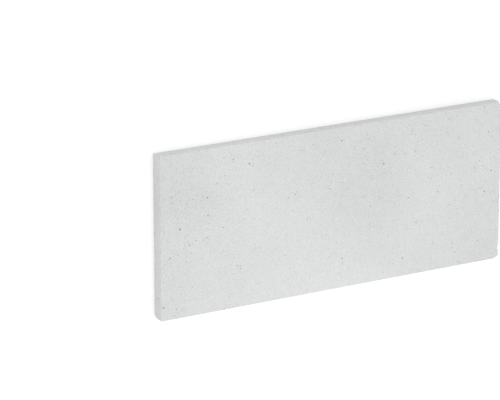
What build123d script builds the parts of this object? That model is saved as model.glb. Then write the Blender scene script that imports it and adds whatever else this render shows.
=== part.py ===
"""Mineral insulation board: one flat slab, sawn from an autoclaved block of aerated calcium silicate.

The board lies on its back. +X runs along its length, +Y along its width and +Z out of its front face.
The origin is the middle of the back face. All sizes are in millimetres.
"""

import os

from build123d import *

# Sawn size of the board
board_length = 600.0
board_width = 250.0
board_thickness = 20.0

# The brittle foam is rubbed round along every sawn edge, and more so at the corners
arris_radius = 1.2
sound_corner_radius = 1.5
worn_corner_radius = 2.2

# One corner has been knocked off at a slant, and the slant has an edge of its own at each end
knock_length = 9.5
knock_width = 4.0
knock_blunt_radius = 6.0
knock_sharp_radius = 2.0

# Corners of the outline, anticlockwise, each with the radius that handling has left it
half_length = board_length / 2
half_width = board_width / 2
outline_corners = [
    ((-half_length, -half_width), worn_corner_radius),
    ((half_length - knock_length, -half_width), knock_blunt_radius),
    ((half_length, -half_width + knock_width), knock_sharp_radius),
    ((half_length, half_width), worn_corner_radius),
    ((-half_length, half_width), sound_corner_radius),
]

with BuildPart() as board:
    with BuildSketch():
        with BuildLine():
            FilletPolyline(
                [corner for corner, radius in outline_corners],
                radius=[radius for corner, radius in outline_corners],
                close=True,
            )
        make_face()
    extrude(amount=board_thickness)

    # The arrises are the edges all round the back face and the front face
    back_face = board.faces().sort_by(Axis.Z)[0]
    front_face = board.faces().sort_by(Axis.Z)[-1]
    fillet(back_face.edges() + front_face.edges(), radius=arris_radius)

board.part.label = "insulation_board"

os.makedirs("parts", exist_ok=True)
export_step(board.part, "parts/insulation_board.step")
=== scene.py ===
import math

import bmesh
import bpy
import numpy as np
from bpy.props import FloatProperty, FloatVectorProperty, IntProperty, PointerProperty
from mathutils import Matrix, Vector


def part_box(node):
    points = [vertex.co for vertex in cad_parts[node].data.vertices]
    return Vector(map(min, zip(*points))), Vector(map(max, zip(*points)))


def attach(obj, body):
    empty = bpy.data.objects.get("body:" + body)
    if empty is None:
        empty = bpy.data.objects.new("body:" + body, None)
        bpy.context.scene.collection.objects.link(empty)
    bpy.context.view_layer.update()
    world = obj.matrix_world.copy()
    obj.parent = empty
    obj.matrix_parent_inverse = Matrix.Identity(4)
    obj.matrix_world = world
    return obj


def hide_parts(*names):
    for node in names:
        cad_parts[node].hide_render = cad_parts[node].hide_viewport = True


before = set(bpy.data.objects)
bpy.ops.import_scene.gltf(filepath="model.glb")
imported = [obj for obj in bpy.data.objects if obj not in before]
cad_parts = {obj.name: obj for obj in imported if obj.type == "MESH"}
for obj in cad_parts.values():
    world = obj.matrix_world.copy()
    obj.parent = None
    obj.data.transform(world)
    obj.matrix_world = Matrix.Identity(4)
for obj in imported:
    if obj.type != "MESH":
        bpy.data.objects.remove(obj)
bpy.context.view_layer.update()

bl_info = {
    "name": "Mineral insulation board",
    "version": (1, 0, 0),
    "blender": (4, 5, 0),
    "location": "3D View > Sidebar > Board",
    "description": "Saws a board of aerated calcium silicate, opens its pores and sets it in a pale studio",
    "category": "Object",
}

# The frame is in metres, and sizes are written here in millimetres.
# +X runs along the board, +Y across it and +Z out of its front face. The back face lies on the floor.
MM = 0.001

board_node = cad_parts["insulation_board"]
board_low, board_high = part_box("insulation_board")
board_size = board_high - board_low

# Vertices closer than this are one vertex, and faces that meet at less than this angle are one face
WELD = 0.001 * MM
FLAT = math.radians(0.5)

WHITE = (1.0, 1.0, 1.0, 1.0)

# Knocks from handling, in millimetres. A knock belongs to the corner of the board at these ends of X, Y
# and Z. The middle of its bite lies that far in from the corner, and the bite reaches that far round it.
KNOCKS = {
    "nick in the right end": {
        "corner": (1, -1, 1),
        "inset": (-0.2, 17.0, 2.0),
        "reach": (2.6, 4.5, 9.0),
    },
    "rubbed right end": {
        "corner": (1, -1, 1),
        "inset": (-2.4, 9.0, 6.0),
        "reach": (4.0, 11.0, 16.0),
    },
    "rubbed left corner": {
        "corner": (-1, -1, -1),
        "inset": (-1.0, 1.5, 3.0),
        "reach": (3.4, 5.5, 10.0),
    },
    "lost front corner": {
        "corner": (1, 1, 1),
        "inset": (0.6, 0.6, 0.0),
        "reach": (4.5, 5.0, 9.5),
    },
}

# Every hollow is cut with a ball that has lumps on it. Lumps and stretch are shares of the ball's radius.
# A ball of few faces is made wider, so that it holds as much as a round one: its radius at each detail.
BALL_RADIUS = {1: 1.18, 2: 1.045, 3: 1.01}
LUMPS_PER_RADIUS = 1.3
PORE_LUMP = 0.45
PORE_STRETCH = 0.25
CHIP_LUMP = 0.3
CHIP_STRETCH = 0.3
KNOCK_LUMP = 0.2

# Detail of the balls that cut the fine pores, the wide pores, the chips and the knocks
FINE_DETAIL = 1
WIDE_DETAIL = 2
CHIP_DETAIL = 2
KNOCK_DETAIL = 3

# Least and greatest height of a ball's middle above the sawn face, as shares of its radius
PORE_HEIGHT = (-0.4, 0.35)
CHIP_HEIGHT = (0.75, 1.0)

# Least and greatest chip, as shares of the mean radius
CHIP_SIZE = (0.4, 1.6)

# Many pores are small and few are large. Each pore draws a chance between the least one and 1, and grows
# beyond the smallest pore with this power of the chance's logarithm.
PORE_POWER = 1.3
LEAST_CHANCE = 0.003

# A face belongs to a rounded arris where no axis lies closer to its normal than this cosine
ARRIS_COSINE = 0.97

# Values of a noise between which the foam goes from loose pores to a clump of them
CLUMP_EDGE = (0.58, 0.68)

# Seeds of the random draws. A turn takes the seed after its own too, for the stretch.
DRAWS = {
    "pore size": 1,
    "pore height": 2,
    "pore turn": 3,
    "pore in a clump": 4,
    "chip size": 11,
    "chip height": 12,
    "chip turn": 13,
}

# Inputs of the pore tree: the kind of each socket, and the size that sets it
TREE_INPUTS = {
    "Saw wave": ("Float", "saw_wave"),
    "Saw wave length": ("Float", "saw_wave_length"),
    "Pore density": ("Float", "pore_density"),
    "Other share": ("Float", "other_share"),
    "Quiet spot": ("Vector", "quiet_spot"),
    "Quiet reach": ("Float", "quiet_reach"),
    "Clump size": ("Float", "pore_clump"),
    "Loose share": ("Float", "loose_share"),
    "Smallest pore": ("Float", "pore_smallest"),
    "Pore growth": ("Float", "pore_growth"),
    "Fine pore": ("Float", "pore_fine"),
    "Chip density": ("Float", "chip_density"),
    "Chip radius": ("Float", "chip_radius"),
    "Seed": ("Int", "seed"),
}

# The clouds of the foam are moved by this many metres, so that the pale and grey ones lie in their places
CLOUD_SHIFT = (-1.56, 1.41, 0.48)

# Values that the noise of the clouds and the noise of the grain seldom leave
CLOUD_NOISE = (0.3, 0.7)
GRAIN_NOISE = (0.25, 0.75)

# Fine pores: values of a noise from sound foam to a clump, and how strong they are in sound foam
FINE_CLUMP_EDGE = (0.4, 0.65)
FINE_SOUND_STRENGTH = 0.5

# Fine pores: two distances from the quiet spot, and how strong they are at each
FINE_DISTANCE = (100 * MM, 400 * MM)
FINE_DISTANCE_STRENGTH = (0.5, 1.6)

# Lamps, in millimetres: where each hangs, where it points and how wide it is, and what sets its power
LAMPS = {
    "overhead_lamp": {
        "place": (300, 0, 2400),
        "aim": (0, 0, 0),
        "width": 1600,
        "power": "overhead_power",
    },
    "side_lamp": {
        "place": (-1820, 740, 1200),
        "aim": (0, 0, 0),
        "width": 1200,
        "power": "side_power",
    },
    "near_lamp": {
        "place": (-85, -450, 500),
        "aim": (-50, -100, 0),
        "width": 300,
        "power": "near_power",
    },
}

# Half the width of the floor and the greatest distance that the camera shows, in metres
FLOOR_REACH = 40.0
CAMERA_REACH = 200.0

# Width of the camera's sensor, in the millimetres that a lens is given in
SENSOR_WIDTH = 36.0

# The map that the finished colours are baked through has this name and this gap between its sides
MAP_NAME = "OFBake"
MAP_GAP = 4 * MM


def linear_colour(code):
    """Turns an sRGB hex value such as DADBDA into linear RGB."""
    shares = [int(code[place : place + 2], 16) / 255 for place in (0, 2, 4)]
    return tuple(s / 12.92 if s <= 0.04045 else ((s + 0.055) / 1.055) ** 2.4 for s in shares)


def add_node(tree, kind, links=None, **settings):
    """Adds a node with its settings.

    links gives inputs by identifier. Each is a value, an output, a node whose first active output
    is meant, or a list of these.
    """
    node = tree.nodes.new(kind)
    for name, value in settings.items():
        setattr(node, name, value)
    for identifier, value in (links or {}).items():
        target = next(s for s in node.inputs if s.identifier == identifier)
        for source in value if isinstance(value, list) else [value]:
            if isinstance(source, bpy.types.Node):
                source = next(s for s in source.outputs if s.enabled)
            if isinstance(source, bpy.types.NodeSocket):
                tree.links.new(source, target)
            else:
                target.default_value = source
    return node


class BoardSizes(bpy.types.PropertyGroup):
    """Sizes of the saw marks, pores and chips."""

    grid_step: FloatProperty(
        name="Grid step",
        description="Spacing of the cuts that keep the faces of the mesh small",
        default=10 * MM,
        unit="LENGTH",
    )
    grid_margin: FloatProperty(
        name="Grid margin",
        description="Distance of the outermost cut from each side, a little more than an arris is round",
        default=2 * MM,
        unit="LENGTH",
    )
    saw_wave: FloatProperty(
        name="Saw wave",
        description="Deepest hollow that the saw wire leaves in a face",
        default=0.2 * MM,
        unit="LENGTH",
    )
    saw_wave_length: FloatProperty(
        name="Saw wave length",
        description="Distance from one hollow to the next",
        default=45 * MM,
        unit="LENGTH",
    )
    pore_density: FloatProperty(
        name="Pores per square metre",
        description="Open pores that are cut into the mesh in a clump at the quiet spot",
        default=13500.0,
        min=0.0,
    )
    other_share: FloatProperty(
        name="Share on the other sides",
        description="Pores on the back and the edges for each pore on the front face",
        subtype="FACTOR",
        default=0.4,
    )
    quiet_spot: FloatVectorProperty(
        name="Quiet spot",
        description="Where the foam has the fewest open pores",
        subtype="TRANSLATION",
        size=3,
        default=(15 * MM, -150 * MM, 20 * MM),
    )
    quiet_reach: FloatProperty(
        name="Quiet reach",
        description="Distance from the quiet spot at which there are twice as many pores",
        default=140 * MM,
        unit="LENGTH",
    )
    pore_clump: FloatProperty(
        name="Clump size",
        description="Distance over which pores gather and thin out",
        default=22 * MM,
        unit="LENGTH",
    )
    loose_share: FloatProperty(
        name="Loose share",
        description="Pores between the clumps for each pore in the clumps",
        subtype="FACTOR",
        default=0.11,
    )
    pore_smallest: FloatProperty(
        name="Smallest pore",
        description="Least radius of a pore that is cut into the mesh",
        default=0.3 * MM,
        unit="LENGTH",
    )
    pore_growth: FloatProperty(
        name="Pore growth",
        description="How far beyond the least radius about a third of the pores reach, or further",
        default=0.08 * MM,
        unit="LENGTH",
    )
    pore_fine: FloatProperty(
        name="Fine pore",
        description="Radius up to which a pore has few faces",
        default=0.65 * MM,
        unit="LENGTH",
    )
    chip_density: FloatProperty(
        name="Chips per square metre",
        description="Chips for each square metre of the rounded arrises",
        default=30000.0,
        min=0.0,
    )
    chip_radius: FloatProperty(
        name="Chip radius",
        description="Mean radius of the ball that a chip is cut with",
        default=2.5 * MM,
        unit="LENGTH",
    )
    seed: IntProperty(
        name="Seed",
        description="Start of the random places of pores and chips",
        default=7,
    )


class FoamLook(bpy.types.PropertyGroup):
    """Colours, pattern and finish of the mineral foam."""

    pale: FloatVectorProperty(
        name="Pale foam",
        description="Colour of the lighter clouds of the sawn face",
        subtype="COLOR",
        size=3,
        default=linear_colour("E1E2E2"),
    )
    grey: FloatVectorProperty(
        name="Grey foam",
        description="Colour of the darker clouds of the sawn face",
        subtype="COLOR",
        size=3,
        default=linear_colour("DBDCDC"),
    )
    cloud_width: FloatProperty(
        name="Cloud width",
        description="Distance over which the foam goes from pale to grey and back",
        default=150 * MM,
        unit="LENGTH",
    )
    grain_width: FloatProperty(
        name="Grain width",
        description="Width of a grain as it is drawn",
        default=1.5 * MM,
        unit="LENGTH",
    )
    grain_contrast: FloatProperty(
        name="Grain contrast",
        description="Share by which a grain is lighter or darker than the foam",
        subtype="FACTOR",
        default=0.09,
    )
    lime: FloatVectorProperty(
        name="Lime grain",
        description="Colour of the scattered grains of lime",
        subtype="COLOR",
        size=3,
        default=linear_colour("ECEDED"),
    )
    lime_spacing: FloatProperty(
        name="Lime spacing",
        description="Distance from one grain of lime to the next",
        default=8 * MM,
        unit="LENGTH",
    )
    lime_radius: FloatProperty(
        name="Lime radius",
        description="Radius of a grain of lime as it is drawn",
        default=0.9 * MM,
        unit="LENGTH",
    )
    # Painted shade: the fine pores are drawn in this darker colour for the shade inside them
    painted_fine_pore_shade: FloatVectorProperty(
        name="Fine pore hollow",
        description="Colour of the pores that are too fine to be cut",
        subtype="COLOR",
        size=3,
        default=linear_colour("B4B5B5"),
    )
    fine_spacing: FloatProperty(
        name="Fine pore spacing",
        description="Distance from one fine pore to the next",
        default=3.6 * MM,
        unit="LENGTH",
    )
    fine_radius: FloatProperty(
        name="Fine pore radius",
        description="Radius of a fine pore as it is drawn",
        default=0.5 * MM,
        unit="LENGTH",
    )
    pit_spacing: FloatProperty(
        name="Pit spacing",
        description="Distance from one pit to the next",
        default=1.8 * MM,
        unit="LENGTH",
    )
    pit_radius: FloatProperty(
        name="Pit radius",
        description="Radius of a pit as it is drawn",
        default=0.35 * MM,
        unit="LENGTH",
    )
    # Painted shade: the pits are darkened towards the fine pores' colour for the shade in them
    painted_pit_shade_share: FloatProperty(
        name="Pit darkness",
        description="How far the colour of a pit goes towards that of a fine pore",
        subtype="FACTOR",
        default=0.4,
    )
    # Painted shade: the open pores darken towards this colour at their bottom, for the shade of a deep pore
    hollow: FloatVectorProperty(
        name="Pore hollow",
        description="Colour at the bottom of the open pores",
        subtype="COLOR",
        size=3,
        default=linear_colour("707171"),
    )
    # Depth at which the painted shade in an open pore is full
    pore_shade_depth: FloatProperty(
        name="Hollow depth",
        description="Depth at which an open pore has the colour of its bottom",
        default=0.35 * MM,
        unit="LENGTH",
    )
    relief: FloatProperty(
        name="Relief",
        description="Height of the grain above the hollows between the grains",
        default=0.62 * MM,
        unit="LENGTH",
    )
    hollow_relief: FloatProperty(
        name="Hollow relief",
        description="Depth of a fine pore or a pit, as a share of the relief",
        subtype="FACTOR",
        default=0.5,
    )
    roughness: FloatProperty(
        name="Roughness",
        description="Of the hollows between the grains, which are chalky and without gloss",
        subtype="FACTOR",
        default=0.98,
    )
    rubbed: FloatProperty(
        name="Rubbed",
        description="How much less rough the proud grains are, which the saw has rubbed",
        subtype="FACTOR",
        default=0.12,
    )


class StudioLook(bpy.types.PropertyGroup):
    """Floor, light and camera."""

    floor_colour: FloatVectorProperty(
        name="Floor colour",
        description="Colour of the pale studio floor",
        subtype="COLOR",
        size=3,
        default=linear_colour("EDEDED"),
    )
    floor_glow: FloatProperty(
        name="Floor glow",
        description="Light of its own that makes the floor white to the camera and lights nothing",
        default=0.26,
    )
    sky: FloatProperty(
        name="Sky",
        description="Strength of the even light from all round",
        default=0.83,
    )
    overhead_power: FloatProperty(
        name="Overhead lamp",
        description="Power of the lamp straight above",
        default=5.5,
        unit="POWER",
    )
    side_power: FloatProperty(
        name="Side lamp",
        description="Power of the lamp at the left end",
        default=4.5,
        unit="POWER",
    )
    near_power: FloatProperty(
        name="Near lamp",
        description="Power of the low lamp at the near edge",
        default=0.68,
        unit="POWER",
    )
    camera_place: FloatVectorProperty(
        name="Camera place",
        description="Where the camera stands",
        subtype="TRANSLATION",
        size=3,
        default=(-2399 * MM, 1319 * MM, 3756 * MM),
    )
    camera_aim: FloatVectorProperty(
        name="Camera aim",
        description="Point at the middle of the picture",
        subtype="TRANSLATION",
        size=3,
        default=(-149 * MM, 37 * MM, 20 * MM),
    )
    camera_up: FloatVectorProperty(
        name="Camera up",
        description="Direction that points up in the picture",
        subtype="DIRECTION",
        size=3,
        default=(0.147, 0.959, -0.241),
    )
    camera_lens: FloatProperty(
        name="Lens",
        description="Focal length on a sensor 36 mm wide",
        subtype="DISTANCE_CAMERA",
        default=223.6,
    )


def spots(tree, place, spacing, radius):
    """1 in round spots of about that radius and spacing, and 0 between them, with a soft rim."""
    inside = 0.75 * radius
    outside = 1.25 * radius
    distance = add_node(tree, "ShaderNodeTexVoronoi", {"Vector": place, "Scale": 1 / spacing})
    return add_node(
        tree,
        "ShaderNodeMapRange",
        {
            "Value": distance,
            "From Min": inside / spacing,
            "From Max": outside / spacing,
            "To Min": 1.0,
            "To Max": 0.0,
        },
    )


def foam_body(tree, place, grain, look):
    """Colour of the foam between its pores: clouds, grain and lime."""
    # Soft clouds, about a hand wide, where the foam is a little denser
    cloud_place = add_node(tree, "ShaderNodeMapping", {"Vector": place, "Location": CLOUD_SHIFT})
    cloud = add_node(
        tree,
        "ShaderNodeTexNoise",
        {"Vector": cloud_place, "Scale": 1 / look.cloud_width, "Detail": 1.0, "Roughness": 0.5},
    )
    cloud_low, cloud_high = CLOUD_NOISE
    cloud_share = add_node(
        tree, "ShaderNodeMapRange", {"Value": cloud, "From Min": cloud_low, "From Max": cloud_high}
    )
    clouded = add_node(
        tree,
        "ShaderNodeMix",
        {"Factor_Float": cloud_share, "A_Color": (*look.grey, 1.0), "B_Color": (*look.pale, 1.0)},
        data_type="RGBA",
    )

    # Each grain is a little lighter or darker
    grain_low, grain_high = GRAIN_NOISE
    grain_share = add_node(
        tree,
        "ShaderNodeMapRange",
        {
            "Value": grain,
            "From Min": grain_low,
            "From Max": grain_high,
            "To Min": 1 - look.grain_contrast,
            "To Max": 1 + look.grain_contrast,
        },
    )
    grained = add_node(
        tree,
        "ShaderNodeMix",
        {"Factor_Float": 1.0, "A_Color": clouded, "B_Color": grain_share},
        data_type="RGBA",
        blend_type="MULTIPLY",
    )

    # Scattered grains of lime
    lime_share = spots(tree, place, look.lime_spacing, look.lime_radius)
    return add_node(
        tree,
        "ShaderNodeMix",
        {"Factor_Float": lime_share, "A_Color": grained, "B_Color": (*look.lime, 1.0)},
        data_type="RGBA",
    )


def fine_pores(tree, place, look, sizes):
    """Strength of the pores that are too fine to be cut into the mesh, and 0 between them.

    They are strong where the cut pores gather and faint near the quiet spot.
    """
    clump = add_node(
        tree, "ShaderNodeTexNoise", {"Vector": place, "Scale": 1 / sizes.pore_clump, "Detail": 1.0}
    )
    sound, pored = FINE_CLUMP_EDGE
    clump_strength = add_node(
        tree,
        "ShaderNodeMapRange",
        {"Value": clump, "From Min": sound, "From Max": pored, "To Min": FINE_SOUND_STRENGTH},
    )
    distance = add_node(
        tree,
        "ShaderNodeVectorMath",
        {"Vector": place, "Vector_001": sizes.quiet_spot},
        operation="DISTANCE",
    )
    near, far = FINE_DISTANCE
    near_strength, far_strength = FINE_DISTANCE_STRENGTH
    distance_strength = add_node(
        tree,
        "ShaderNodeMapRange",
        {
            "Value": distance.outputs["Value"],
            "From Min": near,
            "From Max": far,
            "To Min": near_strength,
            "To Max": far_strength,
        },
    )

    # Real ones are under 0.3 mm in radius. They are drawn wider, with paler painted shade, so that they
    # show
    pores = spots(tree, place, look.fine_spacing, look.fine_radius)
    for strength in (clump_strength, distance_strength):
        pores = add_node(
            tree, "ShaderNodeMath", {"Value": pores, "Value_001": strength}, operation="MULTIPLY"
        )
    return pores


def pored_colour(tree, body, fine, pits, look):
    """Colour of the foam with painted shade in its fine pores, its pits and the open pores that are cut
    into the mesh.
    """
    # Fine pores and pits are painted darker, for the shade in these tiny hollows
    pit_share = add_node(
        tree, "ShaderNodeMath", {"Value": pits, "Value_001": look.painted_pit_shade_share}, operation="MULTIPLY"
    )
    dark_share = add_node(
        tree, "ShaderNodeMath", {"Value": fine, "Value_001": pit_share}, operation="MAXIMUM"
    )
    speckled = add_node(
        tree,
        "ShaderNodeMix",
        {"Factor_Float": dark_share, "A_Color": body, "B_Color": (*look.painted_fine_pore_shade, 1.0)},
        data_type="RGBA",
    )

    # A real pore runs on into the foam, in deep shade. A cut one is only a dish, so painted shade darkens
    # its wall towards the bottom
    pore = add_node(tree, "ShaderNodeAttribute", attribute_name="pore")
    depth = add_node(tree, "ShaderNodeAttribute", attribute_name="depth")
    shade = add_node(
        tree,
        "ShaderNodeMapRange",
        {"Value": depth.outputs["Fac"], "From Max": look.pore_shade_depth, "To Max": pore.outputs["Fac"]},
    )
    return add_node(
        tree,
        "ShaderNodeMix",
        {"Factor_Float": shade, "A_Color": speckled, "B_Color": (*look.hollow, 1.0)},
        data_type="RGBA",
    )


def foam_relief(tree, grain, fine, pits, look):
    """Bump of the grain, with the fine pores and the pits sunk into it."""
    hollows = add_node(
        tree, "ShaderNodeMath", {"Value": fine, "Value_001": pits}, operation="MAXIMUM"
    )
    height = add_node(
        tree,
        "ShaderNodeMath",
        {"Value": hollows, "Value_001": -look.hollow_relief, "Value_002": grain},
        operation="MULTIPLY_ADD",
    )
    return add_node(
        tree, "ShaderNodeBump", {"Height": height, "Strength": 1.0, "Distance": look.relief}
    )


def foam_material(look, sizes):
    """Aerated calcium silicate, wire sawn: chalky pale grey without gloss, finely grained and pored."""
    material = bpy.data.materials.new("aerated_calcium_silicate_sawn")
    material.use_nodes = True
    tree = material.node_tree
    tree.nodes.clear()
    place = add_node(tree, "ShaderNodeTexCoord").outputs["Object"]

    # A real grain is about 0.3 mm wide. It is drawn coarser, so that it shows, and so are the pits
    grain = add_node(
        tree,
        "ShaderNodeTexNoise",
        {"Vector": place, "Scale": 1 / look.grain_width, "Detail": 2.0, "Roughness": 0.6},
    )
    fine = fine_pores(tree, place, look, sizes)
    pits = spots(tree, place, look.pit_spacing, look.pit_radius)

    # The saw rubs the proud grains a little smoother than the hollows between them
    grain_low, grain_high = GRAIN_NOISE
    roughness = add_node(
        tree,
        "ShaderNodeMapRange",
        {
            "Value": grain,
            "From Min": grain_low,
            "From Max": grain_high,
            "To Min": look.roughness,
            "To Max": look.roughness - look.rubbed,
        },
    )
    body = foam_body(tree, place, grain, look)
    shader = add_node(
        tree,
        "ShaderNodeBsdfPrincipled",
        {
            "Base Color": pored_colour(tree, body, fine, pits, look),
            "Roughness": roughness,
            "Diffuse Roughness": 0.6,
            "IOR": 1.5,
            "Specular IOR Level": 0.15,
            "Normal": foam_relief(tree, grain, fine, pits, look),
        },
    )
    add_node(tree, "ShaderNodeOutputMaterial", {"Surface": shader})
    return material


def board_blank(step, margin):
    """A closed copy of the CAD board, cut into a grid so that no face is long.

    A cut at the margin keeps the round of an arris out of the shading of the flat face beside it.
    """
    shell = bmesh.new()
    shell.from_mesh(board_node.data)
    bmesh.ops.remove_doubles(shell, verts=shell.verts, dist=WELD)
    bmesh.ops.dissolve_limit(shell, angle_limit=FLAT, verts=shell.verts, edges=shell.edges)
    for axis in range(3):
        cuts = round(board_size[axis] / step)
        edge = margin / board_size[axis]
        normal = Vector([float(i == axis) for i in range(3)])
        for share in [edge, *(cut / cuts for cut in range(1, cuts)), 1 - edge]:
            everything = shell.verts[:] + shell.edges[:] + shell.faces[:]
            place = board_low + board_size * share
            bmesh.ops.bisect_plane(shell, geom=everything, dist=WELD, plane_co=place, plane_no=normal)
    shell.verts.index_update()
    blank = bpy.data.meshes.new("sawn_board")
    blank.from_pydata([v.co for v in shell.verts], [], [[v.index for v in f.verts] for f in shell.faces])
    shell.free()
    return blank


def waved_blank(tree, given):
    """The blank with a slow wave in its faces, inwards only. Its faces carry the attribute sawn."""
    scale = add_node(
        tree, "ShaderNodeMath", {"Value": 1.0, "Value_001": given["Saw wave length"]}, operation="DIVIDE"
    )
    wave = add_node(tree, "ShaderNodeTexNoise", {"Scale": scale, "Detail": 2.0})
    depth = add_node(
        tree, "ShaderNodeMath", {"Value": wave, "Value_001": given["Saw wave"]}, operation="MULTIPLY"
    )
    inwards = add_node(tree, "ShaderNodeMath", {"Value": depth, "Value_001": -1.0}, operation="MULTIPLY")
    normal = add_node(tree, "GeometryNodeInputNormal")
    offset = add_node(tree, "ShaderNodeVectorMath", {"Vector": normal, "Scale": inwards}, operation="SCALE")
    waved = add_node(tree, "GeometryNodeSetPosition", {"Geometry": given["Geometry"], "Offset": offset})
    return add_node(
        tree,
        "GeometryNodeStoreNamedAttribute",
        {"Geometry": waved, "Name": "sawn", "Value": 1.0},
        data_type="FLOAT",
        domain="FACE",
    )


def lumpy_ball(tree, detail, lump):
    """A ball of about radius 1 with lumps of that height."""
    ball = add_node(
        tree, "GeometryNodeMeshIcoSphere", {"Radius": BALL_RADIUS[detail], "Subdivisions": detail}
    )
    noise = add_node(tree, "ShaderNodeTexNoise", {"Scale": LUMPS_PER_RADIUS, "Detail": 0.0})
    swell = add_node(
        tree, "ShaderNodeMapRange", {"Value": noise.outputs["Fac"], "To Min": -lump, "To Max": lump}
    )
    normal = add_node(tree, "GeometryNodeInputNormal")
    bulge = add_node(tree, "ShaderNodeVectorMath", {"Vector": normal, "Scale": swell}, operation="SCALE")
    return add_node(tree, "GeometryNodeSetPosition", {"Geometry": ball, "Offset": bulge})


def sunk_points(tree, scatter, radius, height):
    """Scattered points, moved along their normals by a share of their radius."""
    rise = add_node(tree, "ShaderNodeMath", {"Value": radius, "Value_001": height}, operation="MULTIPLY")
    lift = add_node(
        tree,
        "ShaderNodeVectorMath",
        {"Vector": scatter.outputs["Normal"], "Scale": rise},
        operation="SCALE",
    )
    return add_node(
        tree, "GeometryNodeSetPosition", {"Geometry": scatter.outputs["Points"], "Offset": lift}
    )


def balls_on(tree, points, chosen, ball, radius, stretch, seed):
    """A ball on each chosen point, turned at random and stretched by up to that share."""
    turn = add_node(
        tree,
        "FunctionNodeRandomValue",
        {"Min": (0.0, 0.0, 0.0), "Max": (math.tau, math.tau, math.tau), "Seed": seed},
        data_type="FLOAT_VECTOR",
    )
    shape = add_node(
        tree,
        "FunctionNodeRandomValue",
        {"Min": (1 - stretch,) * 3, "Max": (1 + stretch,) * 3, "Seed": seed + 1},
        data_type="FLOAT_VECTOR",
    )
    size = add_node(tree, "ShaderNodeVectorMath", {"Vector": shape, "Scale": radius}, operation="SCALE")
    return add_node(
        tree,
        "GeometryNodeInstanceOnPoints",
        {"Points": points, "Selection": chosen, "Instance": ball, "Rotation": turn, "Scale": size},
    )


def pore_density(tree, given):
    """Open pores for each square metre of a clump: few at the quiet spot and more with distance."""
    place = add_node(tree, "GeometryNodeInputPosition")
    distance = add_node(
        tree,
        "ShaderNodeVectorMath",
        {"Vector": place, "Vector_001": given["Quiet spot"]},
        operation="DISTANCE",
    )
    reaches = add_node(
        tree, "ShaderNodeMath", {"Value": distance, "Value_001": given["Quiet reach"]}, operation="DIVIDE"
    )
    rise = add_node(
        tree,
        "ShaderNodeMath",
        {"Value": reaches, "Value_001": reaches, "Value_002": 1.0},
        operation="MULTIPLY_ADD",
    )
    facing = add_node(tree, "ShaderNodeSeparateXYZ", {"Vector": add_node(tree, "GeometryNodeInputNormal")})
    side = add_node(
        tree, "ShaderNodeMapRange", {"Value": facing.outputs["Z"], "To Min": given["Other share"]}
    )
    density = given["Pore density"]
    for share in (rise, side):
        density = add_node(
            tree, "ShaderNodeMath", {"Value": density, "Value_001": share}, operation="MULTIPLY"
        )
    return density


def in_clumps(tree, given):
    """Chooses all points in the clumps and a small share of those between them."""
    scale = add_node(
        tree, "ShaderNodeMath", {"Value": 1.0, "Value_001": given["Clump size"]}, operation="DIVIDE"
    )
    clump = add_node(tree, "ShaderNodeTexNoise", {"Scale": scale, "Detail": 1.0})
    loose, gathered = CLUMP_EDGE
    share = add_node(
        tree,
        "ShaderNodeMapRange",
        {"Value": clump, "From Min": loose, "From Max": gathered, "To Min": given["Loose share"]},
    )
    chance = add_node(tree, "FunctionNodeRandomValue", {"Seed": DRAWS["pore in a clump"]})
    return add_node(tree, "FunctionNodeCompare", {"A": chance, "B": share}, operation="LESS_THAN")


def pore_radius(tree, given):
    """Radius of each pore, from its chance."""
    chance = add_node(
        tree,
        "FunctionNodeRandomValue",
        {"Min_001": LEAST_CHANCE, "Max_001": 1.0, "Seed": DRAWS["pore size"]},
    )
    rarity = add_node(
        tree, "ShaderNodeMath", {"Value": chance, "Value_001": 1 / math.e}, operation="LOGARITHM"
    )
    steps = add_node(tree, "ShaderNodeMath", {"Value": rarity, "Value_001": PORE_POWER}, operation="POWER")
    return add_node(
        tree,
        "ShaderNodeMath",
        {"Value": steps, "Value_001": given["Pore growth"], "Value_002": given["Smallest pore"]},
        operation="MULTIPLY_ADD",
    )


def pore_cutters(tree, given, blank):
    """Bubbles that the saw has met. Their faces carry the attribute pore."""
    scatter = add_node(
        tree,
        "GeometryNodeDistributePointsOnFaces",
        {"Mesh": blank, "Density": pore_density(tree, given), "Seed": given["Seed"]},
    )
    radius = pore_radius(tree, given)

    # The saw meets each bubble at a height of its own, so some pores are dishes and some are deep
    lowest, highest = PORE_HEIGHT
    height = add_node(
        tree,
        "FunctionNodeRandomValue",
        {"Min_001": lowest, "Max_001": highest, "Seed": DRAWS["pore height"]},
    )
    points = sunk_points(tree, scatter, radius, height)
    fine = add_node(
        tree, "FunctionNodeCompare", {"A": radius, "B": given["Fine pore"]}, operation="LESS_THAN"
    )
    gathered = in_clumps(tree, given)
    cutters = []
    for operation, detail in (("AND", FINE_DETAIL), ("NIMPLY", WIDE_DETAIL)):
        chosen = add_node(
            tree, "FunctionNodeBooleanMath", {"Boolean": gathered, "Boolean_001": fine}, operation=operation
        )
        bubble = add_node(
            tree,
            "GeometryNodeStoreNamedAttribute",
            {"Geometry": lumpy_ball(tree, detail, PORE_LUMP), "Name": "pore", "Value": 1.0},
            data_type="FLOAT",
            domain="FACE",
        )
        cutters.append(balls_on(tree, points, chosen, bubble, radius, PORE_STRETCH, DRAWS["pore turn"]))
    return cutters


def on_arrises(tree):
    """Chooses the faces of the rounded arrises, which lie square to no axis."""
    normal = add_node(tree, "GeometryNodeInputNormal")
    cosines = add_node(tree, "ShaderNodeVectorMath", {"Vector": normal}, operation="ABSOLUTE")
    along = add_node(tree, "ShaderNodeSeparateXYZ", {"Vector": cosines}).outputs
    largest = along["X"]
    for axis in ("Y", "Z"):
        largest = add_node(
            tree, "ShaderNodeMath", {"Value": largest, "Value_001": along[axis]}, operation="MAXIMUM"
        )
    return add_node(tree, "FunctionNodeCompare", {"A": largest, "B": ARRIS_COSINE}, operation="LESS_THAN")


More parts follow.
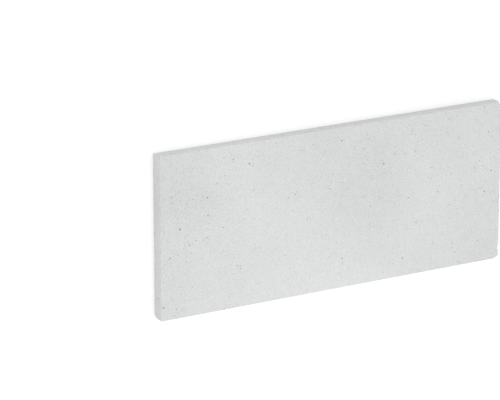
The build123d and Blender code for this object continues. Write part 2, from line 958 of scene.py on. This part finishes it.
def chip_cutters(tree, given, blank):
    """Shallow bites along the rounded arrises."""
    scatter = add_node(
        tree,
        "GeometryNodeDistributePointsOnFaces",
        {
            "Mesh": blank,
            "Selection": on_arrises(tree),
            "Density": given["Chip density"],
            "Seed": given["Seed"],
        },
    )
    smallest, largest = CHIP_SIZE
    share = add_node(
        tree,
        "FunctionNodeRandomValue",
        {"Min_001": smallest, "Max_001": largest, "Seed": DRAWS["chip size"]},
    )
    radius = add_node(
        tree, "ShaderNodeMath", {"Value": share, "Value_001": given["Chip radius"]}, operation="MULTIPLY"
    )
    lowest, highest = CHIP_HEIGHT
    height = add_node(
        tree,
        "FunctionNodeRandomValue",
        {"Min_001": lowest, "Max_001": highest, "Seed": DRAWS["chip height"]},
    )
    points = sunk_points(tree, scatter, radius, height)
    ball = lumpy_ball(tree, CHIP_DETAIL, CHIP_LUMP)
    return [balls_on(tree, points, True, ball, radius, CHIP_STRETCH, DRAWS["chip turn"])]


def knock_cutters(tree):
    """Bites at the corners and ends that handling has knocked."""
    cutters = []
    for knock in KNOCKS.values():
        ends = knock["corner"]
        corner = Vector([board_high[i] if end > 0 else board_low[i] for i, end in enumerate(ends)])
        inset = Vector([end * depth for end, depth in zip(ends, knock["inset"])])
        cutter = add_node(
            tree,
            "GeometryNodeTransform",
            {
                "Geometry": lumpy_ball(tree, KNOCK_DETAIL, KNOCK_LUMP),
                "Translation": corner - inset * MM,
                "Scale": Vector(knock["reach"]) * MM,
            },
        )
        cutters.append(cutter)
    return cutters


def crisp_rims(tree, board):
    """Smooth faces with a sharp edge wherever a sawn face meets a hollow."""
    smooth = add_node(tree, "GeometryNodeSetShadeSmooth", {"Geometry": board})

    # The attribute is 1 on a sawn face and 0 in a hollow, so it is a half on the edge between them
    sawn = add_node(tree, "GeometryNodeInputNamedAttribute", {"Name": "sawn"}, data_type="FLOAT")
    rim = add_node(tree, "FunctionNodeCompare", {"A": sawn, "B": 0.5, "Epsilon": 0.25}, operation="EQUAL")
    return add_node(
        tree,
        "GeometryNodeSetShadeSmooth",
        {"Geometry": smooth, "Selection": rim, "Shade Smooth": False},
        domain="EDGE",
    )


def pore_tree():
    """Geometry Nodes tree that waves a closed blank's faces, opens its pores and chips its arrises."""
    tree = bpy.data.node_groups.new("Pores and chips", "GeometryNodeTree")
    tree.is_modifier = True
    tree.interface.new_socket("Geometry", in_out="INPUT", socket_type="NodeSocketGeometry")
    for name, (kind, _size) in TREE_INPUTS.items():
        tree.interface.new_socket(name, in_out="INPUT", socket_type="NodeSocket" + kind)
    tree.interface.new_socket("Foam", in_out="INPUT", socket_type="NodeSocketMaterial")
    tree.interface.new_socket("Geometry", in_out="OUTPUT", socket_type="NodeSocketGeometry")
    given = add_node(tree, "NodeGroupInput").outputs
    blank = waved_blank(tree, given)
    cutters = pore_cutters(tree, given, blank) + chip_cutters(tree, given, blank) + knock_cutters(tree)
    opened = add_node(
        tree,
        "GeometryNodeMeshBoolean",
        {"Mesh 1": blank, "Mesh 2": cutters},
        operation="DIFFERENCE",
        solver="MANIFOLD",
    )

    # Each vertex is told how deep below the sawn face it lies
    sawn_face = add_node(tree, "GeometryNodeProximity", {"Target": blank}, target_element="FACES")
    sounded = add_node(
        tree,
        "GeometryNodeStoreNamedAttribute",
        {"Geometry": opened, "Name": "depth", "Value": sawn_face.outputs["Distance"]},
        data_type="FLOAT",
        domain="POINT",
    )
    triangles = add_node(tree, "GeometryNodeTriangulate", {"Mesh": sounded})
    crisp = crisp_rims(tree, triangles)
    whole = add_node(tree, "GeometryNodeRealizeInstances", {"Geometry": crisp})
    foam = add_node(tree, "GeometryNodeSetMaterial", {"Geometry": whole, "Material": given["Foam"]})
    output = tree.nodes.new("NodeGroupOutput")
    tree.links.new(foam.outputs["Geometry"], output.inputs["Geometry"])
    return tree


def sweep_crumbs(mesh):
    """Takes away what the cutters have cut free of the board."""
    shell = bmesh.new()
    shell.from_mesh(mesh)
    left = set(shell.verts)
    pieces = []
    while left:
        piece = set()
        waiting = [left.pop()]
        while waiting:
            vertex = waiting.pop()
            piece.add(vertex)
            fresh = {edge.other_vert(vertex) for edge in vertex.link_edges} & left
            left -= fresh
            waiting.extend(fresh)
        pieces.append(piece)
    pieces.sort(key=len)
    for crumb in pieces[:-1]:
        bmesh.ops.delete(shell, geom=list(crumb), context="VERTS")
    shell.to_mesh(mesh)
    shell.free()


def lay_out_sides(mesh):
    """Gives the mesh a map of the six sides of the board, laid flat beside each other.

    Each face of the mesh goes on the side that it lies nearest to.
    """
    places = np.empty((len(mesh.vertices), 3), np.float32)
    mesh.vertices.foreach_get("co", places.ravel())
    middles = np.empty((len(mesh.polygons), 3), np.float32)
    mesh.polygons.foreach_get("center", middles.ravel())
    corner_counts = np.empty(len(mesh.polygons), np.int32)
    mesh.polygons.foreach_get("loop_total", corner_counts)
    vertex_of_corner = np.empty(len(mesh.loops), np.int32)
    mesh.loops.foreach_get("vertex_index", vertex_of_corner)

    low = np.array(board_low)
    high = np.array(board_high)
    depths = np.concatenate([middles - low, high - middles], axis=1)
    side_of_corner = np.repeat(depths.argmin(axis=1), corner_counts)
    length, width, thickness = board_size
    map_size = length + 2 * MAP_GAP

    # Each side as its number among the depths, its two axes in the map, and its place there
    row_step = width + MAP_GAP
    edge_step = thickness + MAP_GAP
    edges_start = 2 * row_step
    sides = [
        (5, (0, 1), (0.0, 0.0)),
        (2, (0, 1), (0.0, row_step)),
        (1, (0, 2), (0.0, edges_start)),
        (4, (0, 2), (0.0, edges_start + edge_step)),
        (0, (1, 2), (0.0, edges_start + 2 * edge_step)),
        (3, (1, 2), (row_step, edges_start + 2 * edge_step)),
    ]
    spread = (places - low)[vertex_of_corner]
    flat = np.empty((len(mesh.loops), 2), np.float32)
    for number, axes, place in sides:
        chosen = side_of_corner == number
        flat[chosen] = (spread[chosen][:, axes] + np.array(place) + MAP_GAP) / map_size
    mesh.uv_layers.new(name=MAP_NAME).uv.foreach_set("vector", flat.ravel())


class BOARD_OT_saw(bpy.types.Operator):
    """Saws the board, opens its pores and chips its arrises"""

    bl_idname = "board.saw"
    bl_label = "Saw the board"

    def execute(self, context):
        sizes = context.scene.board_sizes
        tree = pore_tree()
        piece = bpy.data.objects.new("sawn_board", board_blank(sizes.grid_step, sizes.grid_margin))
        context.scene.collection.objects.link(piece)
        modifier = piece.modifiers.new("Pores and chips", "NODES")
        modifier.node_group = tree
        foam = foam_material(context.scene.foam_look, sizes)
        for item in tree.interface.items_tree:
            if item.name in TREE_INPUTS:
                _kind, size = TREE_INPUTS[item.name]
                modifier[item.identifier] = getattr(sizes, size)
            elif item.name == "Foam":
                modifier[item.identifier] = foam
        depsgraph = context.evaluated_depsgraph_get()
        mesh = bpy.data.meshes.new_from_object(piece.evaluated_get(depsgraph))
        piece.modifiers.remove(modifier)
        sweep_crumbs(mesh)
        lay_out_sides(mesh)
        piece.data = mesh
        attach(piece, "root")
        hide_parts("insulation_board")
        return {"FINISHED"}


def seen_share(tree):
    """1 for rays that show the background to the camera, straight or in a gloss, and 0 for light."""
    path = add_node(tree, "ShaderNodeLightPath").outputs
    seen = path["Is Camera Ray"]
    for kind in ("Is Glossy Ray", "Is Transmission Ray"):
        seen = add_node(
            tree, "ShaderNodeMath", {"Value": seen, "Value_001": path[kind]}, operation="MAXIMUM"
        )
    return seen


def paper_material(look):
    """Matt paper, pressed: even and without gloss, and white to the camera where no shadow falls on it."""
    material = bpy.data.materials.new("matt_white_paper")
    material.use_nodes = True
    tree = material.node_tree
    tree.nodes.clear()
    glow = add_node(
        tree,
        "ShaderNodeMath",
        {"Value": seen_share(tree), "Value_001": look.floor_glow},
        operation="MULTIPLY",
    )
    shader = add_node(
        tree,
        "ShaderNodeBsdfPrincipled",
        {
            "Base Color": (*look.floor_colour, 1.0),
            "Roughness": 1.0,
            "Specular IOR Level": 0.0,
            "Emission Color": WHITE,
            "Emission Strength": glow,
        },
    )
    add_node(tree, "ShaderNodeOutputMaterial", {"Surface": shader})
    return material


def lay_floor(look, scene):
    """A wide pale floor under the board."""
    reach = FLOOR_REACH
    corners = [(-reach, -reach, 0), (reach, -reach, 0), (reach, reach, 0), (-reach, reach, 0)]
    mesh = bpy.data.meshes.new("studio_floor")
    mesh.from_pydata(corners, [], [(0, 1, 2, 3)])
    mesh.materials.append(paper_material(look))
    floor = bpy.data.objects.new("studio_floor", mesh)
    scene.collection.objects.link(floor)


def hang_sky(look, scene):
    """Even light from all round, white where the camera sees it."""
    world = bpy.data.worlds.new("studio")
    world.use_nodes = True
    tree = world.node_tree
    tree.nodes.clear()
    strength = add_node(
        tree, "ShaderNodeMix", {"Factor_Float": seen_share(tree), "A_Float": look.sky, "B_Float": 1.0}
    )
    sky = add_node(tree, "ShaderNodeBackground", {"Color": WHITE, "Strength": strength})
    add_node(tree, "ShaderNodeOutputWorld", {"Surface": sky})
    scene.world = world


def hang_lamp(scene, name, lamp, power):
    """A round soft lamp at its place, turned towards its aim."""
    data = bpy.data.lights.new(name, "AREA")
    data.shape = "DISK"
    data.size = lamp["width"] * MM
    data.energy = power
    place = Vector(lamp["place"]) * MM
    aim = Vector(lamp["aim"]) * MM
    hung = bpy.data.objects.new(name, data)
    hung.location = place
    hung.rotation_mode = "QUATERNION"
    hung.rotation_quaternion = (place - aim).to_track_quat("Z", "Y")
    hung.visible_camera = False
    scene.collection.objects.link(hung)


def set_camera(look, scene):
    """The camera, rolled so that the picture's upward direction lies along camera_up."""
    data = bpy.data.cameras.new("camera")
    data.lens = look.camera_lens
    data.sensor_width = SENSOR_WIDTH
    data.clip_end = CAMERA_REACH
    camera = bpy.data.objects.new("camera", data)
    scene.collection.objects.link(camera)
    place = Vector(look.camera_place)
    back = (place - Vector(look.camera_aim)).normalized()
    right = Vector(look.camera_up).cross(back).normalized()
    turn = Matrix((right, back.cross(right), back)).transposed()
    camera.matrix_world = Matrix.Translation(place) @ turn.to_4x4()
    scene.camera = camera


class BOARD_OT_stage(bpy.types.Operator):
    """Lays the floor, lights the board and sets the camera"""

    bl_idname = "board.set_stage"
    bl_label = "Set the stage"

    def execute(self, context):
        scene = context.scene
        look = scene.studio_look
        scene.view_settings.view_transform = "Standard"
        lay_floor(look, scene)
        hang_sky(look, scene)
        for name, lamp in LAMPS.items():
            hang_lamp(scene, name, lamp, getattr(look, lamp["power"]))
        set_camera(look, scene)
        return {"FINISHED"}


class BOARD_PT_sidebar(bpy.types.Panel):
    """Lists the sizes and colours, and the two steps that make the scene"""

    bl_idname = "BOARD_PT_sidebar"
    bl_label = "Insulation board"
    bl_space_type = "VIEW_3D"
    bl_region_type = "UI"
    bl_category = "Board"

    def draw(self, context):
        for name, group in groups.items():
            box = self.layout.box()
            for key in group.__annotations__:
                box.prop(getattr(context.scene, name), key)
        self.layout.operator(BOARD_OT_saw.bl_idname)
        self.layout.operator(BOARD_OT_stage.bl_idname)


groups = {"board_sizes": BoardSizes, "foam_look": FoamLook, "studio_look": StudioLook}
classes = (*groups.values(), BOARD_OT_saw, BOARD_OT_stage, BOARD_PT_sidebar)


def register():
    """Registers the classes and gives each scene its sizes and looks."""
    for cls in classes:
        bpy.utils.register_class(cls)
    for name, group in groups.items():
        setattr(bpy.types.Scene, name, PointerProperty(type=group))


def unregister():
    """Takes back what register has done."""
    for name in groups:
        delattr(bpy.types.Scene, name)
    for cls in reversed(classes):
        bpy.utils.unregister_class(cls)


def main():
    """Makes the board and its stage."""
    register()
    bpy.ops.board.saw()
    bpy.ops.board.set_stage()


if __name__ == "__main__":
    main()
